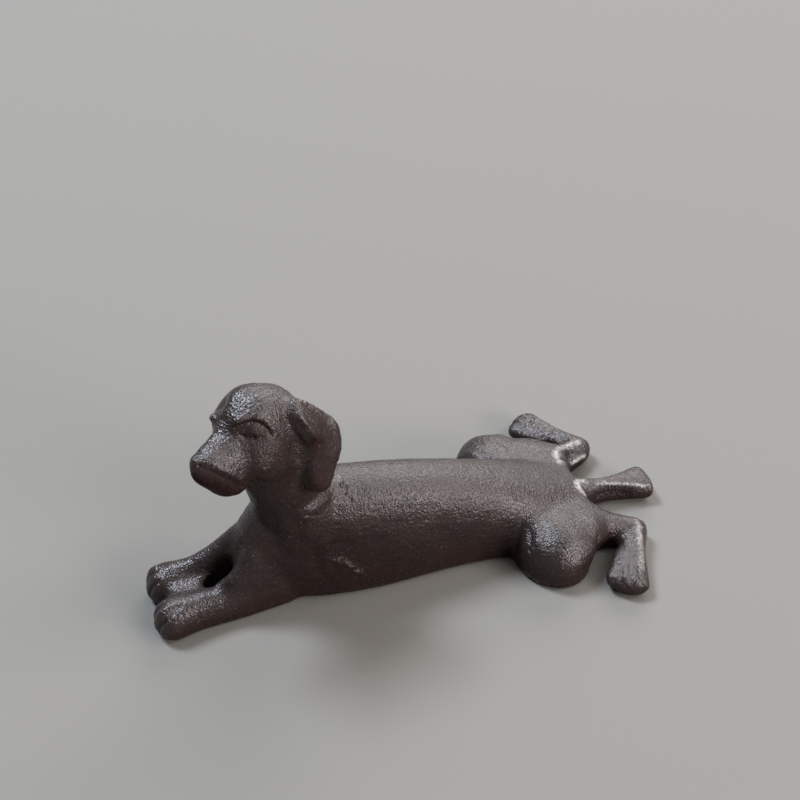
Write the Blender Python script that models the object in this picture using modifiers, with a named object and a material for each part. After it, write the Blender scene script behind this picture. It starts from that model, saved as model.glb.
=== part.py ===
"""Cast iron doorstop: a lying dog, cast in one piece, on four felt floor pads.

The dog lies along X with its nose towards -X and its tail towards +X. Its left side
faces -Y, and the pads stand on the plane z = 0. The box of the whole part is centred
over the origin.
"""
import math

import bmesh
import bpy
from mathutils import Matrix, Vector

# Floor pads: self-adhesive felt discs, let into shallow seats under the casting
PAD_THICKNESS = 0.0020
PAD_PROUD = 0.0006
PAD_CLEARANCE = 0.0003
FRONT_PAD_RADIUS = 0.0045
FRONT_PAD_SETBACK = 0.0020
REAR_PAD_RADIUS = 0.0090

# Trunk: each section has its place along X, its half width and the height of the back
CHEST_X = -0.0650
CHEST_HALF_WIDTH = 0.0110
CHEST_HEIGHT = 0.0440
SHOULDER_X = -0.0480
SHOULDER_HALF_WIDTH = 0.0145
SHOULDER_HEIGHT = 0.0570
BACK_X = -0.0200
BACK_HALF_WIDTH = 0.0180
BACK_HEIGHT = 0.0525
LOIN_X = 0.0120
LOIN_HALF_WIDTH = 0.0178
LOIN_HEIGHT = 0.0435
CROUP_X = 0.0480
CROUP_HALF_WIDTH = 0.0200
CROUP_HEIGHT = 0.0290
RUMP_X = 0.0720
RUMP_HALF_WIDTH = 0.0190
RUMP_HEIGHT = 0.0180
TRUNK_SQUARENESS = 2.6
TRUNK_FRONT_ROUNDING = 0.6
TRUNK_REAR_ROUNDING = 0.45

# Rump plate: the flat field between the thighs, from which shanks and tail go back
PLATE_FRONT_X = 0.0440
PLATE_FRONT_HALF_WIDTH = 0.0260
PLATE_FRONT_HEIGHT = 0.0250
PLATE_REAR_X = 0.0755
PLATE_REAR_HALF_WIDTH = 0.0245
PLATE_REAR_HEIGHT = 0.0165
PLATE_SQUARENESS = 3.5
PLATE_FRONT_ROUNDING = 0.5
PLATE_REAR_ROUNDING = 0.2

# Tail: a short flat paddle
TAIL_WAIST_X = 0.0900
TAIL_TIP_X = 0.1115
TAIL_ROOT_HALF_WIDTH = 0.0075
TAIL_WAIST_HALF_WIDTH = 0.0038
TAIL_TIP_HALF_WIDTH = 0.0090
TAIL_ROOT_HEIGHT = 0.0165
TAIL_WAIST_HEIGHT = 0.0135
TAIL_TIP_HEIGHT = 0.0105
TAIL_WIDEST_LEVEL = 0.5
TAIL_SQUARENESS = 3.0
TAIL_ROUNDING = 0.5

# Forelegs: stretched forward
ELBOW_X = -0.0640
ELBOW_Y = 0.0070
ELBOW_HALF_WIDTH = 0.0060
ELBOW_HEIGHT = 0.0380
FOREARM_X = -0.0810
FOREARM_Y = 0.0084
FOREARM_HALF_WIDTH = 0.0062
LEFT_FOREARM_HEIGHT = 0.0175
RIGHT_FOREARM_HEIGHT = 0.0235
WRIST_X = -0.0960
WRIST_Y = 0.0090
WRIST_HALF_WIDTH = 0.0064
WRIST_HEIGHT = 0.0160
PAW_X = -0.1075
PAW_Y = 0.0096
PAW_HALF_WIDTH = 0.0088
PAW_HEIGHT = 0.0158
PAW_TIP_X = -0.1156
FORELEG_WIDEST_LEVEL = 0.3
PAW_WIDEST_LEVEL = 0.4
FORELEG_SQUARENESS = 2.1

# Web: the sheet between the forelegs, which rises into the breast, and the hole in it
WEB_HALF_WIDTH = 0.0095
WEB_FRONT_X = -0.1055
WEB_FRONT_HEIGHT = 0.0130
WEB_X = -0.0900
WEB_HEIGHT = 0.0130
WEB_REAR_X = -0.0785
WEB_REAR_HEIGHT = 0.0170
BREAST_X = -0.0700
BREAST_HEIGHT = 0.0275
BREAST_REAR_X = -0.0610
BREAST_REAR_HEIGHT = 0.0420
WEB_SQUARENESS = 3.0
WEB_FRONT_ROUNDING = 0.2
BREAST_ROUNDING = 0.4
HOLE_X = -0.0860
HOLE_Y = -0.0002
HOLE_HALF_LENGTH = 0.0070
HOLE_HALF_WIDTH = 0.0036
HOLE_TURN = math.radians(12.0)
HOLE_CUTTER_HEIGHT = 0.0600

# Hind legs: a round flat-sided thigh, a haunch running into the shank, a foot turned
# outwards. The right thigh lies further forward and the whole leg further out.
THIGH_X = 0.0542
THIGH_Y = 0.0228
THIGH_HALF_LENGTH = 0.0166
THIGH_HALF_WIDTH = 0.0202
THIGH_WALL_HEIGHT = 0.0100
THIGH_HEIGHT = 0.0228
HAUNCH_X = 0.0685
HAUNCH_Y = 0.0185
HAUNCH_HALF_WIDTH = 0.0165
HAUNCH_HEIGHT = 0.0192
SHANK_X = 0.0795
SHANK_Y = 0.0214
SHANK_HALF_WIDTH = 0.0068
SHANK_HEIGHT = 0.0148
HOCK_X = 0.0930
HOCK_Y = 0.0265
HOCK_HALF_WIDTH = 0.0056
HOCK_HEIGHT = 0.0118
INSTEP_X = 0.0862
INSTEP_Y = 0.0365
INSTEP_HALF_WIDTH = 0.0058
INSTEP_HEIGHT = 0.0112
TOES_X = 0.0768
TOES_Y = 0.0515
TOES_HALF_WIDTH = 0.0090
TOES_HEIGHT = 0.0102
THIGH_FLOOR_ROUNDING = 0.1
HIND_LEG_WIDEST_LEVEL = 0.4
TOES_WIDEST_LEVEL = 0.45
TOES_ROUNDING = 0.7
HAUNCH_SQUARENESS = 2.5
HIND_LEG_SQUARENESS = 2.3
RIGHT_THIGH_FORWARD = 0.0076
RIGHT_FOOT_FORWARD = 0.0020
RIGHT_LEG_OUTWARD = 0.0026

# Neck: a loft from the shoulders over the throat into the head
NECK_BASE_X = -0.0480
NECK_BASE_Z = 0.0350
NECK_BASE_HALF_WIDTH = 0.0160
NECK_BASE_HALF_DEPTH = 0.0200
THROAT_X = -0.0572
THROAT_Y = -0.0010
THROAT_Z = 0.0640
THROAT_HALF_WIDTH = 0.0150
THROAT_HALF_DEPTH = 0.0145
NECK_TOP_HALF_WIDTH = 0.0140
NECK_TOP_HALF_DEPTH = 0.0155

# Head pose: the point midway between the eyes, the turn to the dog's left, the nod
# and the tilt
EYES_X = -0.0718
EYES_Y = -0.0050
EYES_Z = 0.0945
HEAD_TURN = math.radians(36.0)
HEAD_NOD = math.radians(7.0)
HEAD_TILT = math.radians(-21.0)

# Head forms in the head's own frame: its origin is midway between the eyes, with X
# backwards, Y to the dog's right and Z upwards
FOREHEAD_X = 0.0072
FOREHEAD_Z = -0.0015
FOREHEAD_HALF_LENGTH = 0.0120
FOREHEAD_HALF_WIDTH = 0.0106
FOREHEAD_HALF_HEIGHT = 0.0148
OCCIPUT_X = 0.0120
OCCIPUT_Z = -0.0052
OCCIPUT_HALF_LENGTH = 0.0140
OCCIPUT_HALF_WIDTH = 0.0146
OCCIPUT_HALF_HEIGHT = 0.0142
FACE_X = 0.0020
FACE_Z = -0.0080
FACE_HALF_WIDTH = 0.0104
FACE_HALF_HEIGHT = 0.0122
BRIDGE_X = -0.0070
BRIDGE_Z = -0.0064
BRIDGE_HALF_WIDTH = 0.0088
BRIDGE_HALF_HEIGHT = 0.0108
LIPS_X = -0.0125
LIPS_Z = -0.0060
LIPS_HALF_WIDTH = 0.0080
LIPS_HALF_HEIGHT = 0.0110
SNOUT_X = -0.0178
SNOUT_Z = -0.0022
SNOUT_HALF_WIDTH = 0.0069
SNOUT_HALF_HEIGHT = 0.0076
NOSE_TIP_X = -0.0230
NOSE_Z = 0.0022
NOSE_HALF_LENGTH = 0.0034
NOSE_HALF_WIDTH = 0.0043
NOSE_HALF_HEIGHT = 0.0029
JAW_X = -0.0110
JAW_Z = -0.0118
JAW_HALF_LENGTH = 0.0100
JAW_HALF_WIDTH = 0.0062
JAW_HALF_HEIGHT = 0.0060
BROW_X = -0.0006
BROW_Y = 0.0062
BROW_Z = 0.0056
BROW_HALF_LENGTH = 0.0032
BROW_HALF_WIDTH = 0.0030
BROW_HALF_HEIGHT = 0.0028
CHEEK_X = 0.0020
CHEEK_Y = 0.0086
CHEEK_Z = -0.0108
CHEEK_HALF_LENGTH = 0.0100
CHEEK_HALF_WIDTH = 0.0056
CHEEK_HALF_HEIGHT = 0.0088
NAPE_X = 0.0160
NAPE_Z = -0.0180
NAPE_HALF_LENGTH = 0.0105
NAPE_HALF_WIDTH = 0.0148
NAPE_HALF_HEIGHT = 0.0165
EAR_ROOT_X = 0.0170
EAR_ROOT_Y = 0.0125
EAR_ROOT_Z = -0.0030
EAR_ROOT_HALF_WIDTH = 0.0050
EAR_UPPER_X = 0.0188
EAR_UPPER_Z = -0.0100
EAR_UPPER_HALF_WIDTH = 0.0076
EAR_Y = 0.0132
EAR_LOWER_X = 0.0212
EAR_LOWER_Z = -0.0210
EAR_LOWER_HALF_WIDTH = 0.0086
EAR_TIP_X = 0.0118
EAR_TIP_Z = -0.0325
EAR_TIP_HALF_WIDTH = 0.0060
EAR_HALF_THICKNESS = 0.0050
EAR_SQUARENESS = 2.5

# Casting finish: grid of the joined form, rounding passes, share of faces kept
VOXEL = 0.0012
ROUNDING = 0.5
ROUNDING_PASSES = 12
FACE_SHARE = 0.10
BELOW_GROUND = 0.0020
GROUND_CUTTER_SIZE = (0.40, 0.30, 0.05)

# Colours and finish of the two materials
IRON_COLOUR = (0.045, 0.038, 0.036)
IRON_ROUGHNESS = 0.5
IRON_METALLIC = 0.6
FELT_COLOUR = (0.03, 0.03, 0.03)
FELT_ROUGHNESS = 0.95

# Loft grid: points around a section, rings in an interval, rings in a rounded end
RING_POINTS = 28
RINGS_BETWEEN = 5
END_RINGS = 4


def superellipse(angle, power):
    """A point of the unit superellipse at an angle, as (sideways, upwards)."""
    c, s = math.cos(angle), math.sin(angle)
    r = (abs(c) ** power + abs(s) ** power) ** (-1.0 / power)
    return r * c, r * s


def catmull_rom(p0, p1, p2, p3, t):
    """The smooth value a share t of the way from p1 to p2."""
    return 0.5 * ((2 * p1) + (p2 - p0) * t + (2 * p0 - 5 * p1 + 4 * p2 - p3) * t * t
                  + (3 * p1 - p0 - 3 * p2 + p3) * t ** 3)


def smooth_sections(sections):
    """The sections (centre, half width, half height) with smooth ones between them."""
    rows = [(*centre, a, b) for centre, a, b in sections]
    padded = [rows[0]] + rows + [rows[-1]]
    out = []
    for i in range(1, len(rows)):
        for k in range(RINGS_BETWEEN):
            out.append(tuple(catmull_rom(*(padded[i + j - 1][c] for j in range(4)),
                                         k / RINGS_BETWEEN) for c in range(5)))
    out.append(rows[-1])
    return [(Vector(r[:3]), r[3], r[4]) for r in out]


def rounded_end(ring, sign, share):
    """Shrinking rings beyond one end of a loft, and its pole."""
    centre, tangent, across, upward, a, b = ring
    reach = tangent * sign * min(a, b) * share
    extra = []
    for k in range(1, END_RINGS + 1):
        turn = k / (END_RINGS + 1) * math.pi / 2
        shrink = math.cos(turn)
        extra.append((centre + reach * math.sin(turn), tangent, across, upward,
                      a * shrink, b * shrink))
    return extra, centre + reach


def loft(mesh, sections, side, power=2.0, round_ends=(1.0, 1.0)):
    """Add a closed loft through sections (centre, half width, half height).

    side is the direction of the half width. Each end is rounded over its share of the
    end section's smaller half size.
    """
    rings = smooth_sections(sections)
    side = Vector(side)
    loops = []
    last = len(rings) - 1
    for i, (centre, a, b) in enumerate(rings):
        tangent = (rings[min(i + 1, last)][0] - rings[max(i - 1, 0)][0]).normalized()
        across = (side - tangent * side.dot(tangent)).normalized()
        loops.append((centre, tangent, across, tangent.cross(across), a, b))
    start, start_pole = rounded_end(loops[0], -1.0, round_ends[0])
    finish, finish_pole = rounded_end(loops[-1], 1.0, round_ends[1])
    rows = []
    for centre, _, across, upward, a, b in start[::-1] + loops + finish:
        ring = []
        for k in range(RING_POINTS):
            u, v = superellipse(2 * math.pi * k / RING_POINTS, power)
            ring.append(mesh.verts.new(centre + across * a * u + upward * b * v))
        rows.append(ring)
    first = mesh.verts.new(start_pole)
    final = mesh.verts.new(finish_pole)
    for k in range(RING_POINTS):
        n = (k + 1) % RING_POINTS
        for lower, upper in zip(rows, rows[1:]):
            mesh.faces.new((lower[k], lower[n], upper[n], upper[k]))
        mesh.faces.new((first, rows[0][n], rows[0][k]))
        mesh.faces.new((final, rows[-1][k], rows[-1][n]))


def ellipsoid(mesh, centre, radii):
    bmesh.ops.create_uvsphere(mesh, u_segments=32, v_segments=16, radius=1.0,
                              matrix=Matrix.Translation(centre) @ Matrix.Diagonal((*radii, 1.0)))


def standing(x, y, half_width, height, widest=0.35):
    """A section whose top is at height and whose widest level is a share widest of it."""
    base = height * widest
    return (x, y, base), half_width, height - base


def add_trunk(mesh):
    loft(mesh, [standing(CHEST_X, 0, CHEST_HALF_WIDTH, CHEST_HEIGHT),
                standing(SHOULDER_X, 0, SHOULDER_HALF_WIDTH, SHOULDER_HEIGHT),
                standing(BACK_X, 0, BACK_HALF_WIDTH, BACK_HEIGHT),
                standing(LOIN_X, 0, LOIN_HALF_WIDTH, LOIN_HEIGHT),
                standing(CROUP_X, 0, CROUP_HALF_WIDTH, CROUP_HEIGHT),
                standing(RUMP_X, 0, RUMP_HALF_WIDTH, RUMP_HEIGHT)],
         side=(0, 1, 0), power=TRUNK_SQUARENESS,
         round_ends=(TRUNK_FRONT_ROUNDING, TRUNK_REAR_ROUNDING))


def add_rump_plate(mesh):
    loft(mesh, [standing(PLATE_FRONT_X, 0, PLATE_FRONT_HALF_WIDTH, PLATE_FRONT_HEIGHT),
                standing(PLATE_REAR_X, 0, PLATE_REAR_HALF_WIDTH, PLATE_REAR_HEIGHT)],
         side=(0, 1, 0), power=PLATE_SQUARENESS,
         round_ends=(PLATE_FRONT_ROUNDING, PLATE_REAR_ROUNDING))


def add_tail(mesh):
    loft(mesh, [standing(x, 0, half_width, height, TAIL_WIDEST_LEVEL) for x, half_width, height in (
                    (CROUP_X, TAIL_ROOT_HALF_WIDTH, RUMP_HEIGHT),
                    (RUMP_X, TAIL_ROOT_HALF_WIDTH, TAIL_ROOT_HEIGHT),
                    (TAIL_WAIST_X, TAIL_WAIST_HALF_WIDTH, TAIL_WAIST_HEIGHT),
                    (TAIL_TIP_X, TAIL_TIP_HALF_WIDTH, TAIL_TIP_HEIGHT))],
         side=(0, 1, 0), power=TAIL_SQUARENESS, round_ends=(TAIL_ROUNDING, TAIL_ROUNDING))


def add_foreleg(mesh, hand):
    forearm_height = RIGHT_FOREARM_HEIGHT if hand > 0 else LEFT_FOREARM_HEIGHT
    loft(mesh, [standing(ELBOW_X, ELBOW_Y * hand, ELBOW_HALF_WIDTH, ELBOW_HEIGHT,
                         FORELEG_WIDEST_LEVEL),
                standing(FOREARM_X, FOREARM_Y * hand, FOREARM_HALF_WIDTH, forearm_height,
                         FORELEG_WIDEST_LEVEL),
                standing(WRIST_X, WRIST_Y * hand, WRIST_HALF_WIDTH, WRIST_HEIGHT),
                standing(PAW_X, PAW_Y * hand, PAW_HALF_WIDTH, PAW_HEIGHT, PAW_WIDEST_LEVEL)],
         side=(0, 1, 0), power=FORELEG_SQUARENESS,
         round_ends=(1.0, (PAW_X - PAW_TIP_X) / PAW_HALF_WIDTH))


def add_web(mesh):
    loft(mesh, [standing(WEB_FRONT_X, 0, WEB_HALF_WIDTH, WEB_FRONT_HEIGHT),
                standing(WEB_X, 0, WEB_HALF_WIDTH, WEB_HEIGHT),
                standing(WEB_REAR_X, 0, WEB_HALF_WIDTH, WEB_REAR_HEIGHT),
                standing(BREAST_X, 0, WEB_HALF_WIDTH, BREAST_HEIGHT),
                standing(BREAST_REAR_X, 0, WEB_HALF_WIDTH, BREAST_REAR_HEIGHT)],
         side=(0, 1, 0), power=WEB_SQUARENESS,
         round_ends=(WEB_FRONT_ROUNDING, BREAST_ROUNDING))


def thigh_place(hand):
    """Where the middle of a thigh stands."""
    if hand > 0:
        return THIGH_X - RIGHT_THIGH_FORWARD, THIGH_Y + RIGHT_LEG_OUTWARD
    return THIGH_X, -THIGH_Y


def add_hind_leg(mesh, hand):
    x, y = thigh_place(hand)
    outward = RIGHT_LEG_OUTWARD if hand > 0 else 0.0
    foot_forward = RIGHT_FOOT_FORWARD if hand > 0 else 0.0
    loft(mesh, [((x, y, -BELOW_GROUND), THIGH_HALF_LENGTH, THIGH_HALF_WIDTH),
                ((x, y, THIGH_WALL_HEIGHT), THIGH_HALF_LENGTH, THIGH_HALF_WIDTH)],
         side=(1, 0, 0),
         round_ends=(THIGH_FLOOR_ROUNDING, (THIGH_HEIGHT - THIGH_WALL_HEIGHT) / THIGH_HALF_LENGTH))

    def section(x, y, half_width, height, widest=HIND_LEG_WIDEST_LEVEL):
        return standing(x, (y + outward) * hand, half_width, height, widest)

    shank = section(SHANK_X, SHANK_Y, SHANK_HALF_WIDTH, SHANK_HEIGHT)
    hock = section(HOCK_X, HOCK_Y, HOCK_HALF_WIDTH, HOCK_HEIGHT)
    loft(mesh, [section(x, HAUNCH_Y, HAUNCH_HALF_WIDTH, THIGH_HEIGHT),
                section(HAUNCH_X, HAUNCH_Y, HAUNCH_HALF_WIDTH, HAUNCH_HEIGHT), shank],
         side=(0, 1, 0), power=HAUNCH_SQUARENESS)
    loft(mesh, [section(HAUNCH_X, HAUNCH_Y, SHANK_HALF_WIDTH, HAUNCH_HEIGHT), shank, hock],
         side=(0, 1, 0), power=HIND_LEG_SQUARENESS)
    loft(mesh, [hock,
                section(INSTEP_X - foot_forward, INSTEP_Y, INSTEP_HALF_WIDTH, INSTEP_HEIGHT),
                section(TOES_X - foot_forward, TOES_Y, TOES_HALF_WIDTH, TOES_HEIGHT,
                        TOES_WIDEST_LEVEL)],
         side=(1, 0, 0), power=HIND_LEG_SQUARENESS, round_ends=(1.0, TOES_ROUNDING))


def head_matrix():
    return (Matrix.Translation((EYES_X, EYES_Y, EYES_Z)) @ Matrix.Rotation(HEAD_TURN, 4, "Z")
            @ Matrix.Rotation(-HEAD_NOD, 4, "Y") @ Matrix.Rotation(HEAD_TILT, 4, "X"))


def add_neck(mesh):
    top = head_matrix() @ Vector((FOREHEAD_X, 0, FOREHEAD_Z))
    base = Vector((NECK_BASE_X, 0, NECK_BASE_Z))
    loft(mesh, [(base, NECK_BASE_HALF_WIDTH, NECK_BASE_HALF_DEPTH),
                ((THROAT_X, THROAT_Y, THROAT_Z), THROAT_HALF_WIDTH, THROAT_HALF_DEPTH),
                (top, NECK_TOP_HALF_WIDTH, NECK_TOP_HALF_DEPTH)],
         side=(0, 1, 0))


def add_ear(mesh, hand):
    y = EAR_Y * hand
    loft(mesh, [((EAR_ROOT_X, EAR_ROOT_Y * hand, EAR_ROOT_Z), EAR_ROOT_HALF_WIDTH, EAR_HALF_THICKNESS),
                ((EAR_UPPER_X, y, EAR_UPPER_Z), EAR_UPPER_HALF_WIDTH, EAR_HALF_THICKNESS),
                ((EAR_LOWER_X, y, EAR_LOWER_Z), EAR_LOWER_HALF_WIDTH, EAR_HALF_THICKNESS),
                ((EAR_TIP_X, y, EAR_TIP_Z), EAR_TIP_HALF_WIDTH, EAR_HALF_THICKNESS)],
         side=(1, 0, 0), power=EAR_SQUARENESS)


def add_head(mesh):
    """The head in its own frame."""
    ellipsoid(mesh, (FOREHEAD_X, 0, FOREHEAD_Z),
              (FOREHEAD_HALF_LENGTH, FOREHEAD_HALF_WIDTH, FOREHEAD_HALF_HEIGHT))
    ellipsoid(mesh, (OCCIPUT_X, 0, OCCIPUT_Z),
              (OCCIPUT_HALF_LENGTH, OCCIPUT_HALF_WIDTH, OCCIPUT_HALF_HEIGHT))
    loft(mesh, [((FACE_X, 0, FACE_Z), FACE_HALF_WIDTH, FACE_HALF_HEIGHT),
                ((BRIDGE_X, 0, BRIDGE_Z), BRIDGE_HALF_WIDTH, BRIDGE_HALF_HEIGHT),
                ((LIPS_X, 0, LIPS_Z), LIPS_HALF_WIDTH, LIPS_HALF_HEIGHT),
                ((SNOUT_X, 0, SNOUT_Z), SNOUT_HALF_WIDTH, SNOUT_HALF_HEIGHT)],
         side=(0, 1, 0), round_ends=(1.0, (SNOUT_X - NOSE_TIP_X) / SNOUT_HALF_WIDTH))
    ellipsoid(mesh, (NOSE_TIP_X + NOSE_HALF_LENGTH, 0, NOSE_Z),
              (NOSE_HALF_LENGTH, NOSE_HALF_WIDTH, NOSE_HALF_HEIGHT))
    ellipsoid(mesh, (JAW_X, 0, JAW_Z), (JAW_HALF_LENGTH, JAW_HALF_WIDTH, JAW_HALF_HEIGHT))
    ellipsoid(mesh, (NAPE_X, 0, NAPE_Z), (NAPE_HALF_LENGTH, NAPE_HALF_WIDTH, NAPE_HALF_HEIGHT))
    for hand in (-1, 1):
        ellipsoid(mesh, (BROW_X, BROW_Y * hand, BROW_Z),
                  (BROW_HALF_LENGTH, BROW_HALF_WIDTH, BROW_HALF_HEIGHT))
        ellipsoid(mesh, (CHEEK_X, CHEEK_Y * hand, CHEEK_Z),
                  (CHEEK_HALF_LENGTH, CHEEK_HALF_WIDTH, CHEEK_HALF_HEIGHT))
        add_ear(mesh, hand)


def principled(name, colour, roughness, metallic):
    material = bpy.data.materials.new(name)
    material.use_nodes = True
    shader = material.node_tree.nodes["Principled BSDF"]
    shader.inputs["Base Color"].default_value = (*colour, 1.0)
    shader.inputs["Roughness"].default_value = roughness
    shader.inputs["Metallic"].default_value = metallic
    material.diffuse_color = (*colour, 1.0)
    return material


def move_to(collection, made, name):
    made.name = name
    for group in made.users_collection:
        group.objects.unlink(made)
    collection.objects.link(made)
    return made


def disc(name, x, y, z, radius, height, collection):
    bpy.ops.mesh.primitive_cylinder_add(vertices=32, radius=radius, depth=height,
                                        location=(x, y, z + height / 2))
    return move_to(collection, bpy.context.object, name)


def cut(target, cutter):
    modifier = target.modifiers.new(cutter.name, "BOOLEAN")
    modifier.operation = "DIFFERENCE"
    modifier.solver = "EXACT"
    modifier.object = cutter
    cutter.hide_render = True
    cutter.display_type = "WIRE"


def even_skin(target, name):
    """Replace what overlaps or is cut by one closed surface of even facets."""
    remesh = target.modifiers.new(name, "REMESH")
    remesh.mode = "VOXEL"
    remesh.voxel_size = VOXEL


def casting_forms():
    """One mesh holding every overlapping form of the casting."""
    head = bmesh.new()
    add_head(head)
    bmesh.ops.transform(head, matrix=head_matrix(), verts=head.verts)
    data = bpy.data.meshes.new("dog_casting")
    head.to_mesh(data)
    head.free()
    mesh = bmesh.new()
    mesh.from_mesh(data)
    add_trunk(mesh)
    add_rump_plate(mesh)
    add_tail(mesh)
    add_web(mesh)
    add_neck(mesh)
    for hand in (-1, 1):
        add_foreleg(mesh, hand)
        add_hind_leg(mesh, hand)
    bmesh.ops.recalc_face_normals(mesh, faces=mesh.faces)
    mesh.to_mesh(data)
    mesh.free()
    return data


def make_casting(parts, cutters):
    casting = bpy.data.objects.new("dog_casting", casting_forms())
    parts.objects.link(casting)
    even_skin(casting, "one_casting")
    hole = disc("foreleg_hole", HOLE_X, HOLE_Y, -HOLE_CUTTER_HEIGHT / 2, 1.0, HOLE_CUTTER_HEIGHT,
                cutters)
    hole.scale = (HOLE_HALF_LENGTH, HOLE_HALF_WIDTH, 1.0)
    hole.rotation_euler.z = HOLE_TURN
    cut(casting, hole)
    even_skin(casting, "hole_in_casting")
    smooth = casting.modifiers.new("sand_rounding", "SMOOTH")
    smooth.factor = ROUNDING
    smooth.iterations = ROUNDING_PASSES
    thin = casting.modifiers.new("facets", "DECIMATE")
    thin.ratio = FACE_SHARE
    bpy.ops.mesh.primitive_cube_add(size=1.0)
    ground = move_to(cutters, bpy.context.object, "ground_cutter")
    ground.scale = GROUND_CUTTER_SIZE
    ground.location = (0, 0, PAD_PROUD - GROUND_CUTTER_SIZE[2] / 2)
    cut(casting, ground)
    casting.data.materials.append(principled("cast_iron", IRON_COLOUR, IRON_ROUGHNESS,
                                             IRON_METALLIC))
    return casting


def pad_places():
    """The name, the place and the radius of each floor pad."""
    for hand, side in ((-1, "left"), (1, "right")):
        x, y = thigh_place(hand)
        yield f"front_pad_{side}", PAW_X + FRONT_PAD_SETBACK, PAW_Y * hand, FRONT_PAD_RADIUS
        yield f"rear_pad_{side}", x, y, REAR_PAD_RADIUS


def make_pads(casting, parts, cutters):
    felt = principled("pad_felt", FELT_COLOUR, FELT_ROUGHNESS, 0.0)
    for name, x, y, radius in pad_places():
        pad = disc(name, x, y, 0.0, radius, PAD_THICKNESS, parts)
        pad.data.materials.append(felt)
        seat = disc(f"{name}_seat", x, y, -PAD_CLEARANCE, radius + PAD_CLEARANCE,
                    PAD_THICKNESS + 2 * PAD_CLEARANCE, cutters)
        cut(casting, seat)


def centre_over_origin(casting, collections):
    """Move everything so that the box of the casting is centred over the origin."""
    bpy.context.view_layer.update()
    corners = [Vector(c) for c in casting.evaluated_get(bpy.context.evaluated_depsgraph_get()).bound_box]
    shift = Vector([-(min(c[i] for c in corners) + max(c[i] for c in corners)) / 2 for i in (0, 1)] + [0])
    for collection in collections:
        for made in collection.objects:
            made.location += shift


def main():
    for old in list(bpy.data.objects):
        bpy.data.objects.remove(old)
    parts = bpy.data.collections.new("cast_iron_doorstop")
    cutters = bpy.data.collections.new("cutters")
    bpy.context.scene.collection.children.link(parts)
    bpy.context.scene.collection.children.link(cutters)
    casting = make_casting(parts, cutters)
    make_pads(casting, parts, cutters)
    centre_over_origin(casting, (parts, cutters))


main()
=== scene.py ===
"""Looks of the cast iron doorstop: a lying dog in blackened sand-cast iron on felt pads.

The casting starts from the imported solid, whose facets are melted into one fine skin.
Strokes like a modeller's then cut the eyes, lips, ears, toes and folds into it, and the
grain of the moulding sand is raised on top. Everything is in metres in the frame of the
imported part: nose towards -X, the dog's left side towards -Y, the floor at z = 0.
"""
import math

import bmesh
import bpy
import numpy as np
from mathutils import Matrix, Vector, noise
from mathutils.bvhtree import BVHTree


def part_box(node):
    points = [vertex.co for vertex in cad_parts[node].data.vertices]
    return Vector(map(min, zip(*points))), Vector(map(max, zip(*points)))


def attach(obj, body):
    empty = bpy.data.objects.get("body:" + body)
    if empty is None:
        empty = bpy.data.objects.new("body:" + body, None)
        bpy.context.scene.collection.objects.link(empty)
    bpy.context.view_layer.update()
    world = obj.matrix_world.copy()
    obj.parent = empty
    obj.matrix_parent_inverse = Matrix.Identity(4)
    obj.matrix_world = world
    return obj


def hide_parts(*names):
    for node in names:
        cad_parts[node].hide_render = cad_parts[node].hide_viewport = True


bl_info = {
    "name": "Cast iron dog doorstop",
    "version": (1, 0, 0),
    "blender": (4, 5, 0),
    "location": "View3D > Sidebar > Doorstop",
    "description": "Dresses the packed doorstop: the casting, its floor pads and the stage",
    "category": "Object",
}

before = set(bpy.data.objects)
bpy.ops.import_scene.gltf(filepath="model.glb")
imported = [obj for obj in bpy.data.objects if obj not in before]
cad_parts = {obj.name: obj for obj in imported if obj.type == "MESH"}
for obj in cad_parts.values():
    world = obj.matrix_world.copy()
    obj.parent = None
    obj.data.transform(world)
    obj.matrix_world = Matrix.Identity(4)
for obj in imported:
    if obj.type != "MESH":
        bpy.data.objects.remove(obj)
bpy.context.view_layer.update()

MM = 0.001

# The head's own frame: its origin is midway between the eyes, with X backwards, Y to
# the dog's right and Z upwards. Sizes on the head are in millimetres of this frame.
HEAD_EYES = Vector((-0.07115, -0.00628, 0.0945))
HEAD_TURN = math.radians(36.0)
HEAD_NOD = math.radians(7.0)
HEAD_TILT = math.radians(-21.0)
HEAD_PLACE = (Matrix.Translation(HEAD_EYES) @ Matrix.Rotation(HEAD_TURN, 4, "Z")
              @ Matrix.Rotation(-HEAD_NOD, 4, "Y") @ Matrix.Rotation(HEAD_TILT, 4, "X"))

# Skin of the casting: the gap under which the solid's points are joined, the smoothing
# passes that melt its facets, the height over which the grain fades in above the floor,
# the triangles left, and the passes that spread the marks of wear.
JOIN_GAP = 1e-6
MELT_PASSES = 7
GROUND_BAND = 0.0016
FACE_LIMIT = 190_000
WEAR_PASSES = 6

# Strokes: from point to point of a laid path, and how much of a step's width its slope takes.
PATH_SPACING = 0.0004
STEP_SLOPE = 0.35

# Chisel marks on the brow
CHISEL_ROWS = 8
CHISEL_SPACING = 0.75

# The right hind leg mirrors the left one about the trunk's middle line, a little further
# out and further forward. In millimetres.
MIDDLE_LINE_Y = -1.28
RIGHT_LEG_OUTWARD = 2.6
RIGHT_FOOT_FORWARD = 2.0
RIGHT_THIGH_FORWARD = 7.6

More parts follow.
